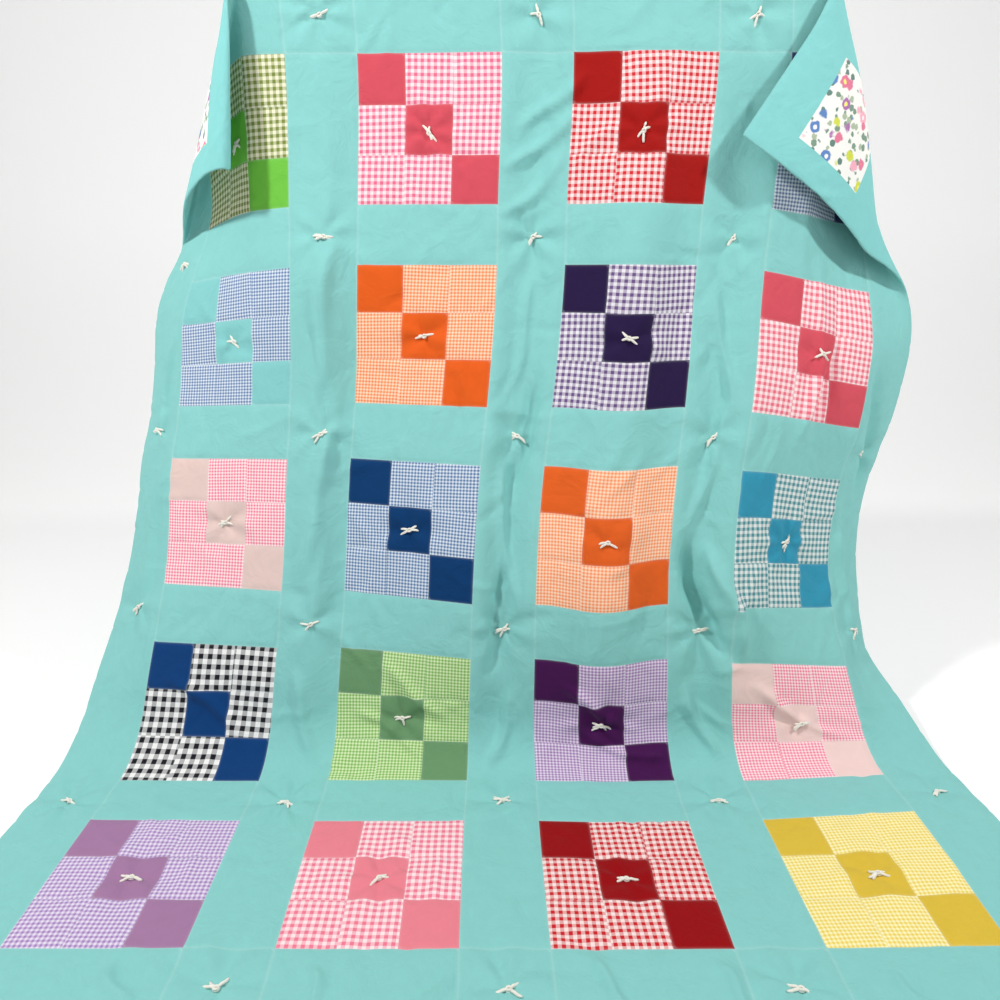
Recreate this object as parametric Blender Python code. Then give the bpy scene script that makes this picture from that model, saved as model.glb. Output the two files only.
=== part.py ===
"""Yarn-tied patchwork quilt, hung by two clips on its top edge, its foot laid out on the floor.

Metres, +Z up, +X to the right of someone facing the quilt, who stands on the -Y side.
The origin is the middle of the top edge, halfway between the clips.
The flat quilt is measured in blocks: s runs across from the middle, t runs down from the top edge.
drape() carries a flat (s, t) to its place in the hung quilt, and each cloth solid is the drape
thickened along its normals.
"""

import math

import bmesh
import bpy
import numpy as np
from mathutils import Matrix, Vector

# Flat quilt
BLOCK = 0.264  # finished nine-patch block
SASH = 0.132  # upright strip between columns
SASH_H = 0.110  # strip between blocks of a column
BORDER = 0.132  # top and sides
FOOT_BORDER = 0.116
COLUMNS, ROWS = 4, 5

# Thickness of the layers
LOFT = 0.0095  # patchwork top with its filling
EDGE_LOFT = 0.0050  # the same where it is pinched at the outer edge
FOLD_LOFT = 0.0030  # and where the corners are folded
BACKING = 0.0012
GAP = 0.0004  # between separate pieces
EDGE_FADE = 0.030  # how far in from the edge the full loft is reached

# Clips
CLIP_LEFT, CLIP_RIGHT = -1.985, 1.915  # from the middle of the quilt, in blocks
CLIP_WIDTH = 0.024
CLIP_HEIGHT = 0.030
CLIP_PLATE = 0.0016
CLIP_MOUTH = 0.0225

# Yarn ties
TIE_LENGTH, TIE_WIDTH, TIE_HEIGHT = 0.024, 0.009, 0.006
TIE_LIFT = 0.0022
UNTIED = ((0, 3), (3, 0))  # blocks, as column and row, that carry no tie here
FOLDED_IN = ((0, 0), (4, 0), (4, 1))  # strip ties that lie pressed inside the fallen corners

HALF = (COLUMNS * BLOCK + (COLUMNS - 1) * SASH + 2 * BORDER) / 2 / BLOCK
LENGTH = (ROWS * BLOCK + (ROWS - 1) * SASH_H + BORDER + FOOT_BORDER) / BLOCK
APEX = 2.045  # where the fold of each corner starts, just outside its clip, in blocks

# How the middle of the quilt runs down: the slope of the cloth toward the viewer, in degrees.
PROFILE = (
    # t, slope
    (0.00, 5.0),
    (1.00, 8.0),
    (2.00, 12.0),
    (3.00, 15.0),
    (4.00, 13.0),
    (4.80, 8.0),
    (5.22, 12.0),
    (5.50, 48.0),
    (5.75, 84.0),
    (6.00, 90.0),
    (7.70, 90.0),
)

# Level sections. sway moves the section sideways. The other columns are degrees: how far each zone
# turns back from the viewer as it runs outward, or, in the strips, how steep their soft fold is.
SECTION_COLUMNS = (
    "t sway left_border column_a fold_ab column_b fold_bc fold_c fold_cd column_d right_border"
).split()
SECTIONS = (
    (0.00, 0.00, 0, 0, 0, 0, 0, 0, 0, 0, 0),
    (0.50, 0.02, 6, 4, 4, 2, 10, 8, 6, 2, 6),
    (1.50, -0.01, 30, 14, 14, 4, 18, 24, 18, 12, 22),
    (1.92, -0.02, 40, 19, 20, 3, 20, 30, 20, 14, 26),
    (2.92, -0.10, 42, 18, 24, 12, 30, 27, 24, 20, 38),
    (3.34, -0.15, 40, 15, 26, 14, 34, 26, 28, 26, 40),
    (4.34, -0.21, 34, 12, 26, 14, 32, 25, 28, 24, 42),
    (4.76, -0.22, 28, 8, 22, 10, 28, 20, 26, 14, 48),
    (5.20, -0.23, 14, 4, 14, 5, 20, 12, 18, 5, 26),
    (5.70, -0.23, 0, 0, 4, 0, 6, 3, 4, 0, 4),
    (6.18, -0.23, 0, 0, 2, 0, 3, 2, 3, 0, 0),
    (7.70, -0.20, 0, 0, 0, 0, 0, 0, 0, 0, 0),
)
FOLD_SIGNS = {"fold_ab": -1.0, "fold_bc": 1.0, "fold_c": -1.0, "fold_cd": 1.0}

# How far the outer edges hang below the middle at each height, in blocks.
DROPS = (
    # t, left, right
    (0.00, 0.00, 0.00),
    (1.00, 0.05, 0.10),
    (1.92, 0.14, 0.28),
    (2.92, 0.10, 0.26),
    (4.34, 0.04, 0.26),
    (4.90, 0.03, 0.22),
    (5.50, 0.00, 0.00),
    (7.70, 0.00, 0.00),
)
DROP_START = 1.3

# Each corner beyond its clip falls forward round its clip as a cone. angle is measured in the flat
# cloth from straight down (0) to along the top edge (90). out, back and up are the direction taken.
CORNER_LEFT = (
    # angle, out, back, up
    (0, 0.00, -0.10, -1.00),
    (20, 0.24, 0.10, -0.95),
    (38, 0.38, 0.18, -0.92),
    (50, 0.36, 0.02, -0.94),
    (62, 0.22, -0.14, -0.96),
    (76, 0.09, -0.20, -0.98),
    (90, 0.04, -0.16, -1.00),
)
CORNER_RIGHT = (
    # angle, out, back, up
    (0, 0.00, -0.10, -1.00),
    (18, 0.24, 0.14, -0.95),
    (31, 0.38, 0.20, -0.89),
    (42, 0.36, 0.07, -0.94),
    (58, 0.10, -0.10, -0.98),
    (74, -0.27, -0.20, -0.94),
    (90, -0.58, -0.22, -0.84),
)
CORNER_SWELL = 0.120  # how far the fallen layer stands forward of its clip
CORNER_SAG = 0.090  # and how far its roll sinks
CORNER_BLEND = (1.25, 2.35)  # heights between which the corner turns into the hanging side

# Columns and rows of facets in each zone of the flat quilt.
ACROSS = (("border", 4), ("block", 6), ("sash", 3), ("block", 2), ("sash", 3), ("block", 2),
          ("sash", 3), ("block", 6), ("border", 4))
DOWN = (("border", 5), ("block", 7), ("sash", 2), ("block", 4), ("sash", 2), ("block", 3),
        ("sash", 1), ("block", 6), ("sash", 2), ("block", 1), ("foot", 1))

STEP = 0.01  # of the running sums, in blocks


def ease(x):
    x = np.clip(x, 0.0, 1.0)
    return x * x * (3.0 - 2.0 * x)


def smooth_table(rows, column, x):
    """A table's column at x, eased between its rows."""
    keys = np.array([row[0] for row in rows], float)
    values = np.array([row[column] for row in rows], float)
    x = np.clip(np.asarray(x, float), keys[0], keys[-1])
    i = np.clip(np.searchsorted(keys, x, side="right") - 1, 0, len(keys) - 2)
    u = (x - keys[i]) / (keys[i + 1] - keys[i])
    slopes = np.gradient(values, keys)
    h = keys[i + 1] - keys[i]
    a, b = values[i], values[i + 1]
    return (
        a * (1 + 2 * u) * (1 - u) ** 2
        + b * u * u * (3 - 2 * u)
        + h * u * (1 - u) ** 2 * slopes[i]
        - h * u * u * (1 - u) * slopes[i + 1]
    )


def running_profile():
    t = np.arange(0.0, LENGTH + 2 * STEP, STEP)
    slope = np.radians(np.minimum(smooth_table(PROFILE, 1, t), PROFILE[-1][1]))
    y = -np.concatenate([[0.0], np.cumsum(np.sin(slope[:-1]) * STEP)])
    z = -np.concatenate([[0.0], np.cumsum(np.cos(slope[:-1]) * STEP)])
    return t, y, z


PROFILE_T, PROFILE_Y, PROFILE_Z = running_profile()
FLOOR = PROFILE_Z.min()


def zone_edges():
    """The seam lines across the flat quilt, outward edge to outward edge."""
    widths = [BORDER] + [BLOCK, SASH] * (COLUMNS - 1) + [BLOCK, BORDER]
    return np.concatenate([[0.0], np.cumsum(widths)]) / BLOCK - HALF


def turn(s, t):
    """The angle, in plan, of the cloth at (s, t) from straight across."""
    edges = zone_edges()
    angle = np.zeros(np.broadcast(s, t).shape)
    names = SECTION_COLUMNS[2:]
    blend = 0.10
    for k, name in enumerate(names):
        lo, hi = edges[k], edges[k + 1]
        inside = ease((s - lo) / blend + 0.5) * ease((hi - s) / blend + 0.5)
        if k == 0:
            inside = ease((hi - s) / blend + 0.5)
        if k == len(names) - 1:
            inside = ease((s - lo) / blend + 0.5)
        degrees = smooth_table(SECTIONS, k + 2, t)
        if name.startswith("fold"):
            u = np.clip((s - lo) / (hi - lo), 0.0, 1.0)
            part = FOLD_SIGNS[name] * degrees * np.sin(2 * math.pi * u)
            inside = 1.0
        else:
            part = degrees * (1.0 if (lo + hi) > 0 else -1.0)
        angle = angle + np.radians(part) * inside
    return angle


def sheet(s, t):
    """The hanging cloth before its corners fall, as an (..., 3) array in blocks."""
    s, t = np.broadcast_arrays(np.asarray(s, float), np.asarray(t, float))
    steps = int(round(HALF / STEP))
    line = np.linspace(0.0, 1.0, steps + 1)
    run = s[..., None] * line
    angle = turn(run, t[..., None])
    dx = np.cos(angle)
    dy = np.sin(angle) * 1.0
    length = s[..., None] / steps
    mid_x = (dx[..., 1:] + dx[..., :-1]) / 2
    mid_y = (dy[..., 1:] + dy[..., :-1]) / 2
    x = smooth_table(SECTIONS, 1, t) + (mid_x * length).sum(-1)
    y = np.interp(t, PROFILE_T, PROFILE_Y) + (mid_y * length).sum(-1)
    z = np.interp(t, PROFILE_T, PROFILE_Z)
    drop = np.where(s < 0, smooth_table(DROPS, 1, t), smooth_table(DROPS, 2, t))
    z = z - drop * ease((np.abs(s) - DROP_START) / (HALF - DROP_START))
    return np.stack([x, y, np.maximum(z, FLOOR)], axis=-1)


def corner_direction(table, side, angle):
    """Unit direction of the fallen corner at each flat angle, paced evenly along its turn."""
    dense = np.linspace(0.0, 90.0, 181)
    path = np.stack([smooth_table(table, k, dense) for k in (1, 2, 3)], axis=-1)
    path[:, 0] *= side
    path /= np.linalg.norm(path, axis=1, keepdims=True)
    paces = np.concatenate([[0.0], np.cumsum(np.linalg.norm(np.diff(path, axis=0), axis=1))])
    paces *= dense[-1] / paces[-1]
    return np.stack([np.interp(angle, paces, path[:, k]) for k in range(3)], axis=-1)


def drape(s, t):
    """Place of the flat point (s, t) on the mid surface of the hung quilt, in blocks."""
    s, t = np.broadcast_arrays(np.asarray(s, float), np.asarray(t, float))
    place = sheet(s, t)
    for side, table in ((-1.0, CORNER_LEFT), (1.0, CORNER_RIGHT)):
        out = side * s - APEX
        away = np.hypot(np.maximum(out, 0.0), t)
        angle = np.degrees(np.arctan2(np.maximum(out, 0.0), np.maximum(t, 1e-9)))
        way = corner_direction(table, side, angle)
        down = corner_direction(table, side, np.zeros_like(angle))
        fallen = sheet(np.full_like(s, side * APEX), t) + way * away[..., None] - down * t[..., None]
        rolled = np.sin(np.radians(angle)) ** 2
        fallen[..., 1] -= CORNER_SWELL * rolled * ease(away / 0.10)
        fallen[..., 2] -= CORNER_SAG * rolled * ease(away / 0.40)
        keep = 1.0 - ease((t - CORNER_BLEND[0]) / (CORNER_BLEND[1] - CORNER_BLEND[0]))
        keep = np.where(out > 0.0, keep, 0.0)[..., None]
        place = place * (1.0 - keep) + fallen * keep
    return place


def with_clip_lines(lines):
    """Grid lines across, with one at each side of each clip in place of those close by."""
    half = CLIP_WIDTH / 2 / BLOCK
    marks = [-APEX + 0.002, CLIP_LEFT + half, CLIP_RIGHT - half, APEX - 0.002]
    marks += [-APEX - 0.08, APEX + 0.08]
    near = 0.07
    kept = [x for x in lines if all(abs(x - mark) > near for mark in marks)]
    return np.array(sorted(kept + marks))


def grid_lines(zones, start):
    widths = {"border": BORDER, "block": BLOCK, "sash": SASH if start < 0 else SASH_H,
              "foot": FOOT_BORDER}
    lines = [start]
    for name, count in zones:
        width = widths[name] / BLOCK
        lines += [lines[-1] + width / count * (k + 1) for k in range(count)]
    return np.array(lines)


def facet_normals(points):
    """Normals at the corners of a grid of facets, averaged from the facets round each corner."""
    a, b, c, d = points[:-1, :-1], points[:-1, 1:], points[1:, 1:], points[1:, :-1]
    first, second = np.cross(b - a, c - a), np.cross(c - a, d - a)
    first /= np.linalg.norm(first, axis=-1, keepdims=True)
    second /= np.linalg.norm(second, axis=-1, keepdims=True)
    total = np.zeros_like(points)
    total[:-1, :-1] += first + second
    total[:-1, 1:] += first
    total[1:, 1:] += first + second
    total[1:, :-1] += second
    return total / np.maximum(np.linalg.norm(total, axis=-1, keepdims=True), 1e-9)


def loft_at(s, t):
    """Thickness of top and filling, thinned toward the outer edges."""
    inward = np.minimum(np.minimum(HALF - np.abs(s), t), LENGTH - t) * BLOCK
    full = EDGE_LOFT + (LOFT - EDGE_LOFT) * ease(inward / EDGE_FADE)
    fallen = ease((np.abs(s) - APEX + 0.1) / 0.1) * (1.0 - ease((t - CORNER_BLEND[0]) / 1.0))
    return full + (FOLD_LOFT - full) * fallen


def flat_grid():
    """The facet corners: flat places, places in the hung quilt in metres, and front normals."""
    across = with_clip_lines(grid_lines(ACROSS, -HALF))
    s, t = np.meshgrid(across, grid_lines(DOWN, 0.0), indexing="ij")
    base = drape(s, t) * BLOCK
    return s, t, base, facet_normals(base)


def on_front(grid, s, t):
    """The point over (s, t) on the facets of the patchwork side, and their normal there."""
    flat_s, flat_t, base, normal = grid
    front = base + normal * (loft_at(flat_s, flat_t) / 2)[..., None]
    i = int(np.clip(np.searchsorted(flat_s[:, 0], s) - 1, 0, flat_s.shape[0] - 2))
    j = int(np.clip(np.searchsorted(flat_t[0], t) - 1, 0, flat_t.shape[1] - 2))
    u = (s - flat_s[i, 0]) / (flat_s[i + 1, 0] - flat_s[i, 0])
    v = (t - flat_t[0, j]) / (flat_t[0, j + 1] - flat_t[0, j])
    a, b, c, d = front[i, j], front[i, j + 1], front[i + 1, j + 1], front[i + 1, j]
    point = a + (b - a) * v + (c - b) * u if v > u else a + (d - a) * u + (c - d) * v
    across, down = (c + d - a - b), (b + c - a - d)
    facing = np.cross(down, across)
    return Vector(point), Vector(facing / np.linalg.norm(facing)), Vector(across).normalized()


def layer(name, front, back, material):
    """One closed solid between two offsets of the draped cloth, given as functions of (s, t)."""
    s, t, base, normal = flat_grid()
    mesh = bmesh.new()
    faces = []
    grids = []
    for offset in (front(s, t), back(s, t)):
        points = base + normal * offset[..., None]
        grids.append([[mesh.verts.new(point) for point in row] for row in points])
    rows, cols = s.shape
    for g, flip in ((grids[0], False), (grids[1], True)):
        for i in range(rows - 1):
            for j in range(cols - 1):
                a, b, c, d = g[i][j], g[i][j + 1], g[i + 1][j + 1], g[i + 1][j]
                for tri in ((a, b, c), (a, c, d)):
                    faces.append(tuple(reversed(tri)) if flip else tri)
    rim = [(i, 0) for i in range(rows)] + [(rows - 1, j) for j in range(1, cols)]
    rim += [(i, cols - 1) for i in range(rows - 2, -1, -1)] + [(0, j) for j in range(cols - 2, 0, -1)]
    for (i, j), (m, n) in zip(rim, rim[1:] + rim[:1]):
        a, b = grids[0][i][j], grids[0][m][n]
        c, d = grids[1][m][n], grids[1][i][j]
        faces += [(a, d, b), (d, c, b)]
    for face in faces:
        mesh.faces.new(face)
    bmesh.ops.recalc_face_normals(mesh, faces=mesh.faces)
    return finish(mesh, name, material)


def finish(mesh, name, material, smooth=True):
    data = bpy.data.meshes.new(name)
    mesh.to_mesh(data)
    mesh.free()
    data.materials.append(material)
    thing = bpy.data.objects.new(name, data)
    bpy.context.collection.objects.link(thing)
    if smooth:
        data.shade_smooth()
        data.set_sharp_from_angle(angle=math.radians(50))
    return thing


def material_of(name, colour, roughness, metallic=0.0):
    material = bpy.data.materials.new(name)
    material.use_nodes = True
    shader = material.node_tree.nodes["Principled BSDF"]
    shader.inputs["Base Color"].default_value = (*colour, 1.0)
    shader.inputs["Roughness"].default_value = roughness
    shader.inputs["Metallic"].default_value = metallic
    return material


def tie(name, grid, s, t, material):
    """A knotted tuft of yarn: a low lozenge lying on the patchwork."""
    centre, normal, across = on_front(grid, s, t)
    centre = centre + normal * TIE_LIFT
    down = normal.cross(across)
    mesh = bmesh.new()
    ring = [
        (TIE_LENGTH / 2, 0.0), (TIE_LENGTH / 6, TIE_WIDTH / 2), (-TIE_LENGTH / 6, TIE_WIDTH / 2),
        (-TIE_LENGTH / 2, 0.0), (-TIE_LENGTH / 6, -TIE_WIDTH / 2), (TIE_LENGTH / 6, -TIE_WIDTH / 2),
    ]
    middle = normal * (TIE_HEIGHT / 2)
    round_it = [mesh.verts.new(centre + middle + across * x + down * y) for x, y in ring]
    low = mesh.verts.new(centre)
    top = mesh.verts.new(centre + middle * 2)
    for a, b in zip(round_it, round_it[1:] + round_it[:1]):
        mesh.faces.new((a, b, top))
        mesh.faces.new((b, a, low))
    bmesh.ops.recalc_face_normals(mesh, faces=mesh.faces)
    return finish(mesh, name, material)


def clip(name, reach, material):
    """A folded metal clip: two flat plates over the top edge, joined by a rolled bridge."""
    outer = CLIP_MOUTH / 2 + CLIP_PLATE
    inner = CLIP_MOUTH / 2
    arc = 6
    section = [(-outer, -CLIP_HEIGHT), (-outer, 0.0)]
    section += [
        (-outer * math.cos(math.pi * k / arc), outer * math.sin(math.pi * k / arc))
        for k in range(1, arc)
    ]
    section += [(outer, 0.0), (outer, -CLIP_HEIGHT), (inner, -CLIP_HEIGHT), (inner, 0.0)]
    section += [
        (inner * math.cos(math.pi * k / arc), inner * math.sin(math.pi * k / arc))
        for k in range(1, arc)
    ]
    section += [(-inner, 0.0), (-inner, -CLIP_HEIGHT)]
    mesh = bmesh.new()
    ends = [
        [mesh.verts.new((x, y, z)) for y, z in section]
        for x in (-CLIP_WIDTH / 2, CLIP_WIDTH / 2)
    ]
    mesh.faces.new(ends[0])
    mesh.faces.new(list(reversed(ends[1])))
    for a, b, c, d in zip(ends[0], ends[0][1:] + ends[0][:1], ends[1][1:] + ends[1][:1], ends[1]):
        mesh.faces.new((b, a, d, c))
    bmesh.ops.recalc_face_normals(mesh, faces=mesh.faces)
    lean = math.radians(PROFILE[0][1])
    place = Matrix.Translation((reach * BLOCK, 0.0, EDGE_LOFT * 0.2))
    bmesh.ops.transform(mesh, matrix=place @ Matrix.Rotation(-lean, 4, "X"), verts=mesh.verts)
    return finish(mesh, name, material)


def tie_spots():
    """Flat places of the ties: the middle of each block, and where strips cross or meet a border."""
    edges = zone_edges()
    columns = [(edges[k] + edges[k + 1]) / 2 for k in range(len(edges) - 1)]
    block_columns, strip_columns = columns[1::2], columns[0::2]
    pitch = (BLOCK + SASH_H) / BLOCK
    border = BORDER / BLOCK
    spots = []
    for c, s in enumerate(block_columns):
        for r in range(ROWS):
            if (c, r) not in UNTIED:
                spots.append((f"tie_block_{'abcd'[c]}{r + 1}", s, border + 0.5 + r * pitch))
    for c, s in enumerate(strip_columns):
        for r in range(ROWS + 1):
            t = border + r * pitch - SASH_H / BLOCK / 2
            if r == 0:
                t = border / 2
            if r == ROWS:
                t = LENGTH - FOOT_BORDER / BLOCK / 2
            if (c, r) not in FOLDED_IN:
                spots.append((f"tie_strip_{c + 1}_{r + 1}", s, t))
    return spots


def build():
    for thing in list(bpy.data.objects):
        bpy.data.objects.remove(thing, do_unlink=True)
    top = material_of("patchwork", (0.26, 0.56, 0.55), 0.85)
    back = material_of("backing_cloth", (0.30, 0.68, 0.70), 0.85)
    yarn = material_of("yarn", (0.85, 0.83, 0.78), 0.9)
    metal = material_of("clip_metal", (0.10, 0.08, 0.12), 0.4, 0.8)
    layer("quilt_top", lambda s, t: loft_at(s, t) / 2, lambda s, t: -loft_at(s, t) / 2, top)
    layer(
        "backing",
        lambda s, t: -loft_at(s, t) / 2 - GAP,
        lambda s, t: -loft_at(s, t) / 2 - GAP - BACKING,
        back,
    )
    grid = flat_grid()
    for name, s, t in tie_spots():
        tie(name, grid, s, t, yarn)
    clip("clip_left", CLIP_LEFT, metal)
    clip("clip_right", CLIP_RIGHT, metal)


build()
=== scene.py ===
"""Looks of the yarn-tied patchwork quilt. Metres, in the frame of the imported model.

The flat quilt is measured in blocks: s runs across from the middle, t runs down from the top edge.
Drape carries (s, t) to the hung cloth. Wrinkles, seams and puckers are added along its normals.
"""

import math

import bmesh
import bpy
import numpy as np
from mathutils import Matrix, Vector


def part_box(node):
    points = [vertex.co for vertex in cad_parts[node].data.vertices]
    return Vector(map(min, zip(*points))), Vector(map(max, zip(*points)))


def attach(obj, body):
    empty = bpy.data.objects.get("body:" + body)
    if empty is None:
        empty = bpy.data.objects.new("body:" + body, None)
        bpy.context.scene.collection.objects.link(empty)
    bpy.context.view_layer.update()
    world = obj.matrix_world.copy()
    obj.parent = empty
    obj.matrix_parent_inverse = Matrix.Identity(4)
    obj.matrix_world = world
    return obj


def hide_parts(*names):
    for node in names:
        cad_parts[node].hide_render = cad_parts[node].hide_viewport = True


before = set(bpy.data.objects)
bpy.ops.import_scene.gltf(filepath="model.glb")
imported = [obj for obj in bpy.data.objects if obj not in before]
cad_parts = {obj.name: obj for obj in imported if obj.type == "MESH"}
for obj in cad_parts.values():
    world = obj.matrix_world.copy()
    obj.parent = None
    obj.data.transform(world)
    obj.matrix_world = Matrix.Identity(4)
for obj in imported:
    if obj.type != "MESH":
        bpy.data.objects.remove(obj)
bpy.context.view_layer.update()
LOWEST = min(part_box(name)[0].z for name in ("quilt_top", "backing"))

# ---------------------------------------------------------------- sizes of the flat quilt
BLOCK = 0.264
SASH, SASH_H, BORDER, FOOT_BORDER = 0.132, 0.110, 0.132, 0.116
COLUMNS, ROWS = 4, 5
HALF = (COLUMNS * BLOCK + (COLUMNS - 1) * SASH + 2 * BORDER) / 2 / BLOCK
LENGTH = (ROWS * BLOCK + (ROWS - 1) * SASH_H + BORDER + FOOT_BORDER) / BLOCK
APEX = 2.045
SEED = 11

PUFF = 0.0058  # half of the loft between ties
EDGE_PUFF = 0.0022  # and at the outer edge
FOLD_PUFF = 0.0030  # and in the fallen corners
PUFF_FADE = 0.035  # how far in from the edge the full loft is reached

# Cells of the cloth grid across one patch, an upright strip, a level strip and the foot border
PATCH_CELLS, SASH_CELLS, SASH_H_CELLS, FOOT_CELLS = 14, 21, 17, 18

PUCKER_HEIGHT = 0.0033  # of the tucks round a tie
SEAM_WIDTH, SEAM_DEPTH = 0.018, 0.0011  # in blocks, and in metres
WRINKLES = 380
FLOOR_GAP = 0.0010  # the cloth's height above the lowest point of the frame

PROFILE = (
    # t, slope of the cloth toward the viewer, degrees
    (0.00, 5.0), (1.00, 8.0), (2.00, 12.0), (3.00, 15.0), (4.00, 13.0), (4.80, 8.0),
    (5.22, 12.0), (5.50, 48.0), (5.75, 84.0), (6.00, 90.0), (7.70, 90.0),
)
SECTION_COLUMNS = (
    "t sway left_border column_a fold_ab column_b fold_bc fold_c fold_cd column_d right_border"
).split()
SECTIONS = (
    (0.00, 0.00, 0, 0, 0, 0, 0, 0, 0, 0, 0),
    (0.50, 0.02, 6, 4, 4, 2, 10, 8, 6, 2, 6),
    (1.50, -0.01, 30, 14, 14, 4, 18, 24, 18, 12, 22),
    (1.92, -0.02, 40, 19, 20, 3, 20, 30, 20, 14, 26),
    (2.92, -0.10, 42, 18, 24, 12, 30, 27, 24, 20, 38),
    (3.34, -0.15, 40, 15, 26, 14, 34, 26, 28, 26, 40),
    (4.34, -0.21, 34, 12, 26, 14, 32, 25, 28, 24, 42),
    (4.76, -0.22, 28, 8, 22, 10, 28, 20, 26, 14, 48),
    (5.20, -0.23, 14, 4, 14, 5, 20, 12, 18, 5, 26),
    (5.70, -0.23, 0, 0, 4, 0, 6, 3, 4, 0, 4),
    (6.18, -0.23, 0, 0, 2, 0, 3, 2, 3, 0, 0),
    (7.70, -0.20, 0, 0, 0, 0, 0, 0, 0, 0, 0),
)
FOLD_SIGNS = {"fold_ab": -1.0, "fold_bc": 1.0, "fold_c": -1.0, "fold_cd": 1.0}
DROPS = (
    # t, left, right
    (0.00, 0.00, 0.00), (1.00, 0.05, 0.10), (1.92, 0.14, 0.28), (2.92, 0.10, 0.26),
    (4.34, 0.04, 0.26), (4.90, 0.03, 0.22), (5.50, 0.00, 0.00), (7.70, 0.00, 0.00),
)
DROP_START = 1.3
CORNER_LEFT = (
    # angle, out, back, up
    (0, 0.00, -0.10, -1.00),
    (20, 0.24, 0.10, -0.95),
    (38, 0.38, 0.18, -0.92),
    (50, 0.36, 0.02, -0.94),
    (62, 0.22, -0.14, -0.96),
    (76, 0.09, -0.20, -0.98),
    (90, 0.04, -0.16, -1.00),
)
CORNER_RIGHT = (
    # angle, out, back, up
    (0, 0.00, -0.10, -1.00),
    (18, 0.24, 0.14, -0.95),
    (31, 0.38, 0.20, -0.89),
    (42, 0.36, 0.07, -0.94),
    (58, 0.10, -0.10, -0.98),
    (74, -0.27, -0.20, -0.94),
    (90, -0.58, -0.22, -0.84),
)
CORNER_SWELL, CORNER_SAG = 0.120, 0.090
CORNER_BLEND = (1.25, 2.35)
STEP = 0.01  # of the Chart, in blocks

# ---------------------------------------------------------------- colours, as sRGB
GROUND = (134, 199, 196)
BLOCKS = (
    # block, patch colour, check colour, check ground, check pitch in mm
    ("a1", (108, 186, 66), (120, 135, 60), (232, 230, 200), 12.0),
    ("b1", (206, 78, 92), (226, 105, 140), (248, 222, 226), 12.0),
    ("c1", (158, 16, 12), (205, 40, 50), (246, 222, 222), 12.0),
    ("d1", (30, 45, 95), (85, 110, 150), (215, 224, 232), 6.4),
    ("a2", (128, 196, 196), (85, 115, 165), (214, 224, 234), 6.4),
    ("b2", (222, 92, 26), (240, 128, 72), (250, 214, 186), 6.4),
    ("c2", (36, 20, 64), (105, 80, 130), (226, 222, 230), 12.0),
    ("d2", (208, 80, 94), (230, 110, 130), (250, 226, 228), 12.0),
    ("a3", (220, 194, 188), (236, 118, 146), (250, 228, 230), 6.4),
    ("b3", (0, 54, 104), (70, 110, 160), (216, 224, 234), 6.4),
    ("c3", (220, 94, 32), (244, 140, 86), (250, 216, 190), 6.4),
    ("d3", (50, 146, 176), (70, 140, 150), (222, 228, 226), 12.0),
    ("a4", (4, 58, 114), (26, 26, 34), (236, 236, 236), 19.5),
    ("b4", (104, 146, 104), (120, 176, 84), (214, 232, 184), 6.4),
    ("c4", (66, 14, 74), (150, 110, 170), (226, 214, 232), 6.4),
    ("d4", (236, 206, 202), (238, 120, 150), (250, 228, 232), 6.4),
    ("a5", (160, 118, 158), (160, 124, 186), (226, 216, 234), 7.6),
    ("b5", (230, 128, 142), (236, 120, 146), (250, 224, 228), 12.0),
    ("c5", (146, 0, 8), (200, 30, 40), (246, 222, 220), 12.0),
    ("d5", (216, 184, 62), (232, 206, 84), (250, 240, 190), 6.4),
)

CREASE_GAIN = 1.9  # on every height below

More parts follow.
